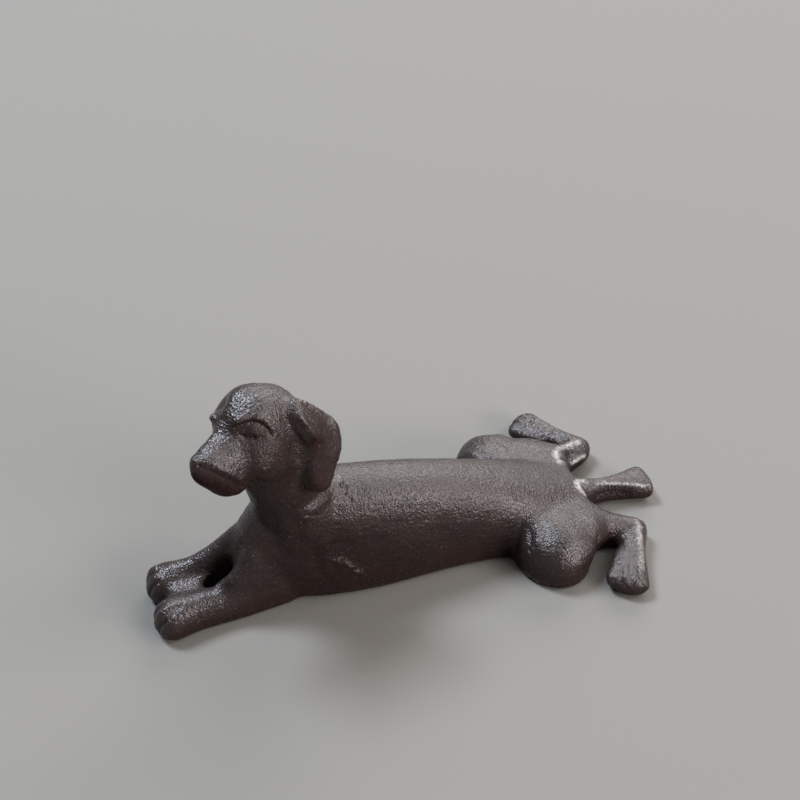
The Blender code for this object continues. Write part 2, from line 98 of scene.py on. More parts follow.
WARM_WHITE = (1.0, 0.98, 0.96)
LAMPS = (
    # name, place, aim, size, power, colour
    ("overhead", (0.0, 0.3, 2.7), (0, 0, 0), (2.8, 2.8), 13.0, (1.0, 0.99, 0.98)),
    ("window", (1.7, 2.2, 1.65), (0, 0, 0.02), (2.6, 1.6), 64.0, (1.0, 0.985, 0.975)),
    ("cool_side", (-0.95, 1.2, 2.4), (-0.03, 0, 0.03), (0.6, 0.9), 75.0, (0.76, 0.87, 1.0)),
    ("front_right", (1.4, -1.8, 0.85), (0.0, 0, 0.04), (1.4, 0.7), 40.0, WARM_WHITE),
    ("upper_right", (1.75, -0.4, 1.95), (0, 0, 0.04), (1.1, 1.3), 24.0, WARM_WHITE),
)
WORLD_STRENGTH = 0.06
FLOOR_HALF_SIZE = 6.0
SENSOR_WIDTH = 36.0
CLIP_START = 0.01

# Felt pads: sides of the disc and steps of its rounded cut edge.
PAD_SIDES = 72
PAD_RIM_STEPS = 3


class CastingLook(bpy.types.PropertyGroup):
    grid: bpy.props.FloatProperty(
        name="Skin grid", description="Spacing of the points of the casting's skin",
        default=0.00052, min=0.0003, max=0.002, precision=5, subtype="DISTANCE", unit="LENGTH")
    stroke_depth: bpy.props.FloatProperty(
        name="Stroke depth", description="How deep the modelled eyes, lips and toes are cut",
        default=1.0, min=0.0, max=2.0, subtype="FACTOR")
    grain_size: bpy.props.FloatProperty(
        name="Grain size", description="Width of one grain of the moulding sand",
        default=0.0009, min=0.0003, max=0.005, precision=4, subtype="DISTANCE", unit="LENGTH")
    grain_height: bpy.props.FloatProperty(
        name="Grain height", description="How far the coarse grain of the skin stands up",
        default=0.00023, min=0.0, max=0.001, precision=5, subtype="DISTANCE", unit="LENGTH")
    relief: bpy.props.FloatProperty(
        name="Fine relief", description="Height of the fine grain that catches the light",
        default=0.0005, min=0.0, max=0.003, precision=5, subtype="DISTANCE", unit="LENGTH")
    comb_spacing: bpy.props.FloatProperty(
        name="Comb spacing", description="From one tool scratch to the next",
        default=0.00075, min=0.0003, max=0.005, precision=5, subtype="DISTANCE", unit="LENGTH")
    comb_depth: bpy.props.FloatProperty(
        name="Comb depth", description="Depth of the tool scratches",
        default=0.0002, min=0.0, max=0.001, precision=5, subtype="DISTANCE", unit="LENGTH")
    iron: bpy.props.FloatVectorProperty(
        name="Iron", description="Colour of the blackened iron", size=3, subtype="COLOR",
        min=0.0, max=1.0, default=(0.025, 0.014, 0.013))
    # Painted top light: upper faces are painted in this paler colour, standing in for the light that
    # falls on them.
    top_lit_iron: bpy.props.FloatVectorProperty(
        name="Top lit iron", description="Colour of the upper faces, painted paler as painted top light", size=3,
        subtype="COLOR", min=0.0, max=1.0, default=(0.050, 0.036, 0.035))
    # Worn points and painted edge highlights share this pale colour.
    worn_and_lit_iron: bpy.props.FloatVectorProperty(
        name="Worn and lit iron", description="Colour of rubbed edges", size=3, subtype="COLOR",
        min=0.0, max=1.0, default=(0.42, 0.385, 0.365))
    rust: bpy.props.FloatVectorProperty(
        name="Rust brown", description="Warm brown of the thin rust under the wax", size=3,
        subtype="COLOR", min=0.0, max=1.0, default=(0.036, 0.017, 0.013))


class PadLook(bpy.types.PropertyGroup):
    felt: bpy.props.FloatVectorProperty(
        name="Felt", description="Colour of the felt pads", size=3, subtype="COLOR",
        min=0.0, max=1.0, default=(0.022, 0.021, 0.022))
    nap_size: bpy.props.FloatProperty(
        name="Nap size", description="Width of one tuft of the felt", default=0.0004,
        min=0.0001, max=0.002, precision=5, subtype="DISTANCE", unit="LENGTH")
    rim_radius: bpy.props.FloatProperty(
        name="Cut edge radius", description="Rounding of the pads' cut edges", default=0.0002,
        min=0.00005, max=0.0005, precision=5, subtype="DISTANCE", unit="LENGTH")


class StageLook(bpy.types.PropertyGroup):
    floor: bpy.props.FloatVectorProperty(
        name="Floor", description="Colour of the plain floor", size=3, subtype="COLOR",
        min=0.0, max=1.0, default=(0.268, 0.252, 0.232))
    azimuth: bpy.props.FloatProperty(
        name="Azimuth", description="Side that the camera looks from",
        default=math.radians(-19.408), subtype="ANGLE", unit="ROTATION")
    elevation: bpy.props.FloatProperty(
        name="Elevation", description="Height of the camera's line of sight",
        default=math.radians(40.376), subtype="ANGLE", unit="ROTATION")
    roll: bpy.props.FloatProperty(
        name="Roll", description="Turn of the camera about its line of sight",
        default=math.radians(0.447), subtype="ANGLE", unit="ROTATION")
    reach: bpy.props.FloatProperty(
        name="Distance", description="From the aim to the camera", default=0.56267,
        subtype="DISTANCE", unit="LENGTH")
    aim: bpy.props.FloatVectorProperty(
        name="Aim", description="Point in the middle of the picture", size=3,
        default=(0.02694, 0.09498, 0.00044), subtype="TRANSLATION", unit="LENGTH")
    lens: bpy.props.FloatProperty(
        name="Lens", description="Focal length on a 36 mm sensor", default=50.0,
        unit="CAMERA")


def smooth_path(points):
    """Points close together on a smooth curve through the given ones."""
    given = [Vector(p) for p in points]
    padded = [2 * given[0] - given[1]] + given + [2 * given[-1] - given[-2]]
    out = []
    for a, b, c, d in zip(padded, padded[1:], padded[2:], padded[3:]):
        count = max(2, math.ceil((c - b).length / PATH_SPACING))
        for k in range(count):
            t = k / count
            out.append(0.5 * (2 * b + (c - a) * t + (2 * a - 5 * b + 4 * c - d) * t * t
                              + (3 * b - a - 3 * c + d) * t ** 3))
    out.append(given[-1])
    return out


def rows(items, attribute):
    """One row of three numbers for each item of a mesh."""
    values = np.empty(len(items) * 3)
    items.foreach_get(attribute, values)
    return values.reshape(-1, 3)


def edge_ends(mesh):
    """The two points of each edge."""
    ends = np.empty(len(mesh.edges) * 2, dtype=np.int32)
    mesh.edges.foreach_get("vertices", ends)
    return ends.reshape(-1, 2)


def move_points(mesh, places):
    mesh.vertices.foreach_set("co", places.ravel())
    mesh.update()


class Clay:
    """The skin of the casting, pushed along its own normals by strokes.

    Strokes are added up and laid in together by settle(). Their places are in
    millimetres of the frame that the skin was last turned to.
    """

    def __init__(self, mesh, depth):
        self.mesh = mesh
        self.depth = depth
        self.read()

    def read(self):
        self.places = rows(self.mesh.vertices, "co")
        self.normals = rows(self.mesh.vertex_normals, "vector")
        self.amount = np.zeros(len(self.places))
        polygons = [tuple(p.vertices) for p in self.mesh.polygons]
        self.tree = BVHTree.FromPolygons([tuple(p) for p in self.places], polygons)

    def soften(self, centre, radius, passes):
        """Rubs the skin smooth round a centre. Strokes that aren't settled yet are lost."""
        away = np.linalg.norm(self.places - np.array(centre) * MM, axis=1)
        share = np.clip(1.5 - away / (radius * MM), 0, 1)
        edges = edge_ends(self.mesh)
        edges = edges[(share[edges] > 0).any(1)]
        near, short = np.unique(edges, return_inverse=True)
        edges = short.reshape(-1, 2)
        weights = np.maximum(np.bincount(edges.ravel(), minlength=len(near)), 1)[:, None]
        rubbed_and_lit = 0.5 * share[near][:, None]
        moved = self.places[near]
        for _ in range(passes):
            moved += rubbed_and_lit * (neighbour_mean(moved, edges, weights) - moved)
        self.places[near] = moved
        move_points(self.mesh, self.places)
        self.read()

    def turn(self, matrix):
        self.mesh.transform(matrix)
        self.mesh.update()
        self.read()

    def settle(self):
        self.places += self.normals * self.amount[:, None]
        move_points(self.mesh, self.places)
        self.read()

    def along(self, points, width, fade, power=2.0):
        """The points near a path laid on the skin, how strongly each is met, and its path point."""
        reach = width * MM
        path = smooth_path([Vector(p) * MM for p in points])
        laid = np.array([self.tree.find_nearest(p)[0] for p in path])
        low, high = laid.min(0) - 3 * reach, laid.max(0) + 3 * reach
        near = np.nonzero(((self.places > low) & (self.places < high)).all(1))[0]
        gaps = np.linalg.norm(self.places[near][:, None] - laid[None], axis=2)
        closest = gaps.argmin(1)
        share = closest / (len(laid) - 1)
        ends = np.clip(np.minimum(share, 1 - share) / fade, 0, 1) if fade else 1.0
        shape = np.exp(-(gaps.min(1) / reach) ** power) * np.sqrt(ends)
        return near, shape, laid[closest]

    def line(self, points, width, height, fade=0.25):
        """A ridge, or a groove where height is negative, along a path laid on the skin."""
        near, shape, _ = self.along(points, width, fade)
        self.amount[near] += shape * height * MM * self.depth

    def step(self, points, width, height, low_side, fade=0.2):
        """A step along a path: the skin sinks on the side of low_side and rises on the other."""
        near, shape, foot = self.along(points, width, fade)
        outward = foot - np.array(low_side) * MM
        outward /= np.linalg.norm(outward, axis=1)[:, None]
        side = ((self.places[near] - foot) * outward).sum(1) / (width * MM * STEP_SLOPE)
        self.amount[near] += shape * np.clip(side, -1, 1) * height * MM * self.depth

    def swell(self, centre, sizes, height, power=2.0):
        """A bump, or a hollow where height is negative, round a centre."""
        away = (self.places - np.array(centre) * MM) / (np.array(sizes) * MM)
        shape = np.exp(-np.linalg.norm(away, axis=1) ** power)
        self.amount += shape * height * MM * self.depth

    def pit(self, centre, width, depth):
        """A small round hole laid on the skin."""
        place = self.tree.find_nearest(Vector(centre) * MM)[0]
        away = np.linalg.norm(self.places - np.array(place), axis=1) / (width * MM)
        self.amount -= np.exp(-away ** 3) * depth * MM * self.depth


def melted_skin(solid, grid):
    """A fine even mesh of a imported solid, with its facets melted away."""
    forms = bmesh.new()
    forms.from_mesh(solid.data)
    bmesh.ops.remove_doubles(forms, verts=forms.verts, dist=JOIN_GAP)
    mesh = bpy.data.meshes.new("skin")
    forms.to_mesh(mesh)
    forms.free()
    holder = bpy.data.objects.new("skin", mesh)
    bpy.context.scene.collection.objects.link(holder)
    remesh = holder.modifiers.new("grid", "REMESH")
    remesh.mode = "VOXEL"
    remesh.voxel_size = grid
    smooth = holder.modifiers.new("melt", "SMOOTH")
    smooth.factor = 0.5
    smooth.iterations = MELT_PASSES
    return applied(holder)


def applied(holder):
    """The mesh that an object's modifiers make. The object itself is removed."""
    bpy.context.view_layer.update()
    depsgraph = bpy.context.evaluated_depsgraph_get()
    made = bpy.data.meshes.new_from_object(holder.evaluated_get(depsgraph))
    old = holder.data
    bpy.data.objects.remove(holder)
    bpy.data.meshes.remove(old)
    return made


def both(hand, points):
    """Points given for the dog's right side, on the side that hand says: 1 right, -1 left."""
    return [(x, y * hand, z) for x, y, z in points]


def model_eye(clay, hand):
    """A low button of an eye in a hollow, under a brow that overhangs it as an arc."""
    middle = (-1.0, 10.6 * hand, 0.8)
    arc = both(hand, [(-4.3, 5.2, 5.0), (-2.7, 7.5, 5.6), (-0.4, 9.4, 5.2), (1.3, 10.9, 4.3),
                      (2.6, 12.3, 2.5), (3.2, 13.0, 0.3), (3.4, 13.3, -2.3), (2.7, 13.1, -3.8)])
    lower_lid = both(hand, [(-4.4, 7.0, 2.3), (-3.6, 8.5, 0.7), (-2.4, 10.0, -0.9),
                            (-0.8, 11.3, -1.7), (1.2, 12.5, -2.3)])
    clay.swell((-1.6, 9.8 * hand, 1.4), (4.4, 4.2, 3.4), -0.9)
    clay.settle()
    clay.step(arc, 2.0, 0.5, middle, fade=0.25)
    clay.line(arc, 1.0, -0.85, fade=0.2)
    brow_rise = 1.7 if hand > 0 else 0.35
    clay.swell((-2.9, 6.6 * hand, 7.0), (2.6, 3.0, 2.4), brow_rise)
    clay.settle()
    clay.swell(middle, (2.2, 2.2, 2.1), 0.9, power=4.0)
    clay.swell((-4.6, 9.4 * hand, -2.6), (4.0, 3.4, 3.4), 0.6)
    clay.line(lower_lid, 0.65, -0.2)
    clay.pit((-3.8, 8.1 * hand, 1.4), 0.62, 0.75)
    clay.pit((-1.9, 10.3 * hand, -0.4), 0.68, 0.9)
    clay.settle()


def model_muzzle_side(clay, hand):
    """The upper lip, which overhangs the chin from the nose to the corner of the mouth."""
    lip = both(hand, [(-21.2, 2.4, 3.0), (-20.6, 4.0, 1.1), (-19.7, 5.6, -0.8), (-18.9, 6.4, -2.5),
                      (-17.8, 6.8, -4.4), (-16.2, 7.0, -7.4), (-14.4, 6.7, -10.9),
                      (-13.3, 6.0, -13.4)])
    clay.step(lip, 2.7, 0.6, (-23.0, 0.0, -12.0), fade=0.3)
    clay.swell((-12.2, 7.4 * hand, -11.4), (1.9, 1.8, 1.9), 0.45)
    clay.line(both(hand, [(-6.0, 4.5, -17.5), (-3.5, 7.0, -18.5), (-0.5, 9.5, -19.0),
                          (3.0, 11.2, -18.6), (6.3, 12.0, -17.2)]), 3.0, 1.9, fade=0.3)
    clay.line(both(hand, [(-4.3, 2.0, -22.5), (-1.9, 5.1, -22.9), (1.8, 8.2, -22.6), (5.5, 10.2, -21.0),
                          (7.6, 11.4, -18.4)]), 4.2, 0.9, fade=0.35)
    clay.pit((-21.8, 2.2 * hand, 1.9), 0.6, 0.6)
    clay.line(both(hand, [(-9.4, 4.6, 2.8), (-12.0, 5.8, 0.6), (-13.4, 6.6, -2.4)]), 1.4, -0.2)


def model_ear(clay, hand):
    """A flap laid on the neck: a step at its front edge and a groove inside its rim."""
    front = both(hand, [(15.8, 14.0, 1.6), (12.6, 14.4, -0.1), (12.0, 14.9, -3.4), (12.0, 15.4, -8.0),
                        (12.5, 15.5, -13.3), (12.6, 14.9, -18.3)])
    groove = both(hand, [(15.6, 14.6, 1.4), (18.8, 15.9, -0.6), (20.7, 16.9, -4.2), (22.6, 17.7, -9.7),
                         (24.0, 17.8, -14.8), (24.0, 18.0, -19.5), (22.4, 17.9, -25.1)])
    rim = both(hand, [(18.2, 14.4, 2.4), (21.6, 15.4, -0.6), (23.6, 16.4, -4.2), (25.6, 17.0, -10.0),
                      (26.8, 17.0, -15.4), (26.8, 17.0, -21.0)])
    clay.step(front, 2.4, 0.4, (2.0, 13.0 * hand, -12.0), fade=0.3)
    clay.line(front, 2.2, -0.6, fade=0.3)
    clay.line(groove, 1.8, -0.5, fade=0.3)
    clay.line(rim, 1.3, 0.6)
    clay.line(both(hand, [(27.0, 16.6, -13.5), (27.8, 16.6, -20.0), (25.8, 16.8, -26.6),
                          (21.4, 17.2, -31.0)]), 4.6, 0.9)
    clay.line(both(hand, [(15.2, 16.6, -2.4), (15.8, 17.2, -6.8), (16.3, 17.6, -11.9),
                          (16.8, 17.5, -17.4)]), 1.4, 1.1)
    clay.swell((8.2, 13.6 * hand, 0.2), (3.4, 3.4, 4.6), -0.5)
    clay.swell((3.0, 14.0 * hand, -7.4), (4.0, 3.0, 3.6), 0.3)


def model_head(clay):
    """Everything on the head, worked in the head's own frame."""
    clay.turn(HEAD_PLACE.inverted())
    for hand in (-1, 1):
        clay.soften((8.0, 11.6 * hand, -18.6), 4.4, 90)
    for hand in (-1, 1):
        model_ear(clay, hand)
        model_muzzle_side(clay, hand)
    clay.line([(-17.0, 0.6, 4.2), (-13.0, 1.0, 4.0), (-9.4, 1.2, 4.2), (-6.0, 0.8, 5.4),
               (-3.8, 0.2, 7.6)], 3.0, 1.1)
    clay.swell((-22.6, 0.6, -1.0), (2.4, 3.4, 5.0), 1.7)
    clay.swell((-16.5, 0, -12.5), (7.0, 6.0, 5.0), 0.8)
    clay.swell((-12.0, -1.0, -16.0), (5.0, 6.0, 3.5), 1.5)
    clay.swell((1.8, 6.2, 10.0), (4.6, 4.4, 4.2), -2.2)
    clay.line([(-22.4, 0, -0.4), (-21.8, 0, -4.0)], 0.6, -0.4)
    clay.settle()
    for hand in (-1, 1):
        clay.soften((1.5, 10.0 * hand, -18.0), 5.6, 110)
    for hand in (-1, 1):
        model_eye(clay, hand)
    for row in range(CHISEL_ROWS):
        rise = CHISEL_SPACING * row
        clay.line([(-5.3 + rise, -1.4, 5.5 + rise), (-4.3 + rise, -4.6, 5.5 + rise),
                   (-3.4 + rise, -7.4, 5.2 + rise)], 0.36, -0.05)
    clay.settle()
    clay.turn(HEAD_PLACE)


def model_shoulder(clay, hand):
    """The front edge of the shoulder, which stands before the neck, and its casting seam."""
    upper = both(hand, [(-34.0, 2.6, 57.0), (-37.5, 5.9, 56.4), (-40.4, 9.5, 56.2), (-43.9, 12.5, 56.6),
                        (-48.6, 15.0, 56.2), (-52.8, 15.8, 55.0)])
    lower = both(hand, [(-50.0, 15.4, 56.0), (-52.8, 15.8, 54.0), (-52.3, 15.9, 49.7),
                        (-51.8, 15.8, 42.5), (-50.4, 15.7, 38.4), (-47.1, 15.7, 35.0),
                        (-45.7, 14.8, 29.0), (-45.2, 14.8, 22.1), (-45.4, 14.7, 15.0)])
    clay.step(upper, 5.0, 0.6, (-58.0, 4.0 * hand, 74.0))
    clay.step(lower, 5.0, 0.7, (-82.0, 15.8 * hand, 36.0))
    clay.swell((-38.0, 16.4 * hand - 1.3, 44.0), (12.0, 6.0, 9.0), 1.2)
    clay.line(both(hand, [(-42.7, 15.2, 24.2), (-39.4, 15.6, 24.4), (-35.9, 16.2, 21.6),
                          (-31.1, 16.8, 16.2), (-27.8, 17.1, 12.2)]), 1.6, 0.45)
    clay.line(both(hand, [(-64.6, 13.6, 60.0), (-62.0, 12.6, 50.0), (-63.0, 10.0, 40.0)]), 3.0, -0.5)


def model_nape(clay):
    """Pinched folds where the neck meets the back."""
    clay.line([(-37.0, -6.7, 56.1), (-34.4, -7.6, 54.9), (-32.9, -9.6, 53.3), (-32.4, -11.2, 51.6),
               (-30.2, -12.4, 49.6)], 0.8, -0.4)
    clay.line([(-31.0, -3.8, 55.6), (-31.8, -7.6, 54.5), (-32.0, -9.9, 53.0)], 0.55, -0.35)
    clay.line([(-33.4, -2.0, 56.2), (-33.0, -5.4, 55.5), (-33.6, -7.6, 54.8)], 0.8, 0.6)
    clay.line([(-29.8, -4.0, 55.4), (-30.2, -7.4, 54.4)], 0.7, 0.45)
    clay.swell((-27.0, -10.4, 52.0), (5.4, 2.4, 2.6), -0.45)


def model_body(clay):
    """The shoulders, the nape, the breast and the tops of the forelegs."""
    for hand in (-1, 1):
        model_shoulder(clay, hand)
    model_nape(clay)
    clay.swell((-73.5, 0.5, 42.0), (6.0, 7.0, 5.0), -0.6)
    clay.swell((-80.3, -10.0, 20.0), (5.0, 3.4, 4.0), 1.2)
    clay.swell((-85.0, -7.6, 15.4), (4.0, 2.6, 3.0), 0.7)
    clay.line([(-88.0, -7.2, 14.2), (-85.4, -7.6, 15.4), (-82.6, -8.4, 17.8), (-80.3, -9.4, 20.6)],
              3.0, 1.5, fade=0.5)
    clay.line([(-106.0, 9.4, 14.0), (-99.0, 8.9, 15.2), (-92.4, 8.4, 18.2), (-87.0, 8.0, 22.0),
               (-82.4, 7.8, 26.6), (-78.6, 7.0, 32.0), (-76.0, 5.6, 37.0)], 5.2, 1.6, fade=0.4)
    clay.settle()


def model_front_paw(clay, hand):
    """Two grooves between the toes, the outer one sweeping back up the paw."""
    outer = both(hand, [(-101.8, 12.0, 15.0), (-103.2, 12.9, 14.7), (-106.0, 14.2, 14.0),
                        (-108.3, 15.3, 12.8), (-110.2, 15.7, 11.2), (-112.0, 15.4, 8.8),
                        (-113.3, 14.2, 4.9), (-113.8, 13.6, 2.0)])
    inner = both(hand, [(-108.4, 8.2, 15.0), (-111.1, 9.0, 13.7), (-112.7, 9.4, 12.0),
                        (-113.6, 9.6, 10.4), (-114.5, 9.6, 7.2), (-114.8, 9.6, 3.0)])
    innermost = both(hand, [(-108.4, 3.6, 14.0), (-110.6, 3.9, 12.2), (-112.4, 4.4, 9.0),
                            (-113.4, 5.0, 4.0)])
    between = both(hand, [(-106.6, 11.4, 15.6), (-110.6, 12.4, 13.2), (-112.9, 12.6, 9.8)])
    clay.line(outer, 0.9, -1.1, fade=0.2)
    clay.line(inner, 0.9, -1.05, fade=0.2)
    clay.line(innermost, 0.8, -0.8, fade=0.2)
    clay.line(between, 1.1, 0.45, fade=0.3)


def on_hind_leg(hand, forward, points):
    """Points given for the left hind leg, on the leg that hand says."""
    if hand < 0:
        return points
    return [(x - forward, 2 * MIDDLE_LINE_Y - y + RIGHT_LEG_OUTWARD, z) for x, y, z in points]


def model_hind_foot(clay, hand):
    """Grooves between the toes and a raised outer edge up to the hock."""
    def foot(points):
        return on_hind_leg(hand, RIGHT_FOOT_FORWARD, points)

    clay.line(foot([(80.6, -33.0, 7.0), (77.2, -40.0, 6.0), (72.8, -48.0, 5.6), (70.8, -53.0, 5.0)]),
              3.0, 1.6)
    (foot_end,) = foot([(75.0, -56.0, 5.0)])
    clay.swell(foot_end, (7.0, 4.0, 4.5), 1.2)
    clay.line(foot([(76.4, -46.6, 9.6), (74.2, -50.6, 9.0), (73.0, -53.6, 6.8)]), 0.9, -0.75)
    clay.line(foot([(79.6, -47.6, 10.4), (77.8, -51.6, 9.9), (76.6, -55.2, 7.4)]), 0.9, -0.8)
    clay.line(foot([(82.6, -49.6, 10.0), (81.2, -53.0, 9.6), (80.2, -56.4, 7.8)]), 0.8, -0.6)
    clay.line(foot([(93.6, -25.2, 11.6), (93.4, -28.9, 11.5), (91.2, -34.6, 10.8), (88.0, -41.6, 9.9),
                    (85.4, -47.6, 9.7), (82.4, -53.2, 9.6)]), 1.5, 0.5)
    clay.line(foot([(88.6, -28.0, 11.8), (87.9, -33.5, 11.4), (85.0, -39.0, 11.0)]), 1.5, -0.45)


def model_thigh(clay, hand):
    """The crease before the thigh, its dented front and the seam near the floor."""
    def thigh(points):
        return on_hind_leg(hand, RIGHT_THIGH_FORWARD, points)

    clay.line(thigh([(46.3, -18.3, 24.0), (43.6, -19.3, 23.0), (41.5, -20.3, 20.9), (39.5, -21.6, 16.2),
                     (38.5, -23.2, 11.4), (38.3, -24.4, 6.0)]), 2.4, -0.35)
    clay.line(thigh([(47.2, -19.8, 23.4), (46.4, -24.5, 21.6), (44.8, -29.0, 19.6),
                     (43.6, -33.4, 17.0)]), 1.0, 0.4)
    clay.line(thigh([(44.0, -22.6, 21.0), (42.6, -26.5, 18.4), (41.6, -30.4, 15.4)]), 1.2, -0.5)
    clay.line(thigh([(50.4, -24.0, 22.6), (48.2, -29.0, 21.4), (46.6, -33.0, 19.2)]), 0.8, -0.25)
    if hand < 0:
        clay.swell((71.0, -29.3, 16.5), (7.0, 5.0, 4.5), 1.7)
        clay.swell((66.5, -36.0, 11.5), (5.0, 4.0, 6.0), 1.5)
        clay.line([(70.5, -32.5, 12.5), (75.0, -30.4, 10.0), (79.5, -29.6, 8.6)], 2.6, 1.2)
        clay.swell((58.0, -33.0, 20.0), (6.0, 5.0, 4.0), 0.7)
    else:
        clay.swell((57.0, 36.5, 17.0), (4.0, 4.0, 4.0), 1.3)
    (hole,) = thigh([(40.9, -30.6, 14.8)])
    clay.pit(hole, 0.9, 0.8)
    clay.line(thigh([(39.2, -30.0, 2.4), (41.0, -35.2, 2.2), (44.0, -38.8, 2.2), (47.6, -41.6, 2.2)]),
              0.6, 0.32)


def model_rump(clay):
    """The notches beside the tail, cut square, with the lip that closes the far one."""
    near_rim = [(83.0, -0.6, 15.0), (78.0, -1.4, 16.1), (76.5, -4.9, 16.7), (76.6, -7.3, 16.5),
                (77.9, -9.9, 14.8)]
    far_rim = [(94.2, 25.7, 11.2), (89.4, 25.7, 12.6), (81.3, 22.6, 14.8), (75.6, 16.9, 17.4),
               (75.4, 12.9, 16.9), (78.4, 11.4, 14.4)]
    clay.line(near_rim, 1.3, 0.4)
    clay.line(far_rim, 1.3, 0.45)
    clay.line([(83.6, -3.2, 13.9), (90.0, -3.3, 12.9), (96.0, -4.2, 11.9), (102.0, -5.7, 11.0),
               (108.4, -7.4, 9.8)], 0.9, 0.55)
    clay.line([(84.0, -5.6, 9.0), (90.0, -5.0, 8.4), (97.0, -5.9, 7.4), (103.0, -7.6, 6.6)], 2.6, -0.6)
    clay.swell((85.6, 19.6, 11.6), (4.6, 3.6, 3.0), -2.4)
    clay.settle()
    clay.line([(80.6, 13.6, 11.6), (84.4, 16.6, 8.6), (89.5, 19.2, 7.6), (94.6, 21.4, 6.8)], 1.1, 1.3,
              fade=0.1)
    clay.line([(81.6, 12.0, 7.6), (86.0, 15.6, 4.6), (92.0, 19.0, 3.6)], 1.6, -0.7)


def model_limbs(clay):
    """The paws, feet and thighs, the fold before the right thigh, and the rump."""
    for hand in (-1, 1):
        model_front_paw(clay, hand)
        model_hind_foot(clay, hand)
        model_thigh(clay, hand)
    clay.line([(47.2, 35.7, 20.3), (51.2, 29.9, 21.6), (53.6, 26.3, 21.6), (54.4, 22.3, 21.7),
               (51.4, 17.8, 22.3), (45.0, 13.0, 26.0)], 1.6, -0.35)
    model_rump(clay)
    clay.settle()


def raise_grain(clay, size, height):
    """The coarser part of the sand's grain, which the skin's grid can hold."""
    above = np.clip((clay.places[:, 2] - GROUND_BAND) / GROUND_BAND, 0, 1)
    rough = np.array([noise.fractal(Vector(p) / (size * 1.5), 0.7, 2.0, 2) for p in clay.places])
    lumps = np.array([noise.noise(Vector(p) / (size * 8.0)) for p in clay.places])
    clay.amount += above * height * (rough * 0.55 + lumps * 0.9)
    clay.settle()


def keep_in_box(mesh):
    """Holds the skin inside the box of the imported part, and its ground face flat."""
    low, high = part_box("dog_casting")
    move_points(mesh, np.clip(rows(mesh.vertices, "co"), np.array(low), np.array(high)))


def neighbour_mean(values, edges, weights):
    """The mean of each point's neighbours. The weights are how many neighbours each has."""
    total = np.zeros_like(values)
    np.add.at(total, edges[:, 0], values[edges[:, 1]])
    np.add.at(total, edges[:, 1], values[edges[:, 0]])
    return total / weights


def write_mark(mesh, name, values):
    mesh.attributes.new(name, "FLOAT", "POINT").data.foreach_set("value", values)


def mark_wear(mesh):
    """Writes how much each point stands out, as the attribute "proud"."""
    places = rows(mesh.vertices, "co")
    normals = rows(mesh.vertex_normals, "vector")
    edges = edge_ends(mesh)
    count = len(places)
    along = places[edges[:, 1]] - places[edges[:, 0]]
    bend = ((normals[edges[:, 1]] - normals[edges[:, 0]]) * along).sum(1)
    bend /= np.maximum((along ** 2).sum(1), 1e-12)
    weights = np.maximum(np.bincount(edges.ravel(), minlength=count), 1)
    proud = (np.bincount(edges[:, 0], bend, count) + np.bincount(edges[:, 1], bend, count)) / weights
    for _ in range(WEAR_PASSES):
        proud = 0.5 * proud + 0.5 * neighbour_mean(proud, edges, weights)
    write_mark(mesh, "proud", proud * MM)


def on_head(points):
    """Points of the head's own frame, in millimetres of the part's frame."""
    return [HEAD_PLACE @ (Vector(p) * MM) / MM for p in points]


# Pale edges, partly rubbed bare and partly painted highlight where rims and edges catch the light.
RUBBED_AND_LIT_LINES = (
    # path in millimetres, width, strength
    ([(83.0, -0.6, 15.0), (78.4, -1.2, 16.1), (76.2, -4.2, 16.7), (76.4, -7.3, 16.5),
      (78.2, -10.2, 14.6)], 2.3, 0.9),
    ([(95.2, 25.9, 11.0), (89.4, 25.9, 12.6), (81.3, 22.8, 14.8), (75.4, 17.2, 17.4),
      (75.2, 12.9, 16.9), (78.6, 11.2, 14.2)], 2.4, 0.85),
    ([(81.6, 14.4, 11.0), (85.4, 17.4, 9.0), (90.0, 19.8, 8.4), (95.0, 21.8, 7.4)], 1.0, 0.9),
    ([(84.0, -3.2, 13.9), (90.0, -3.3, 12.9), (96.0, -4.2, 11.9), (102.0, -5.7, 11.0),
      (108.8, -7.4, 9.8), (112.6, -7.0, 8.6)], 1.0, 0.8),
    ([(94.0, -25.2, 11.4), (93.8, -28.9, 11.3), (91.4, -34.6, 10.6), (88.2, -41.6, 9.8),
      (85.6, -47.6, 9.6), (82.6, -53.2, 9.4)], 2.2, 0.75),
    ([(-42.7, -16.5, 24.2), (-39.4, -16.9, 24.4), (-35.9, -17.5, 21.6), (-31.1, -18.1, 16.2),
      (-27.8, -18.4, 12.2)], 1.9, 0.36),
    ([(39.2, -30.0, 2.4), (41.0, -35.2, 2.2), (44.0, -38.8, 2.2), (47.6, -41.6, 2.2)], 0.5, 0.45),
    ([(-33.4, -2.0, 56.2), (-33.0, -5.4, 55.5), (-33.6, -7.6, 54.8)], 0.8, 0.5),
)
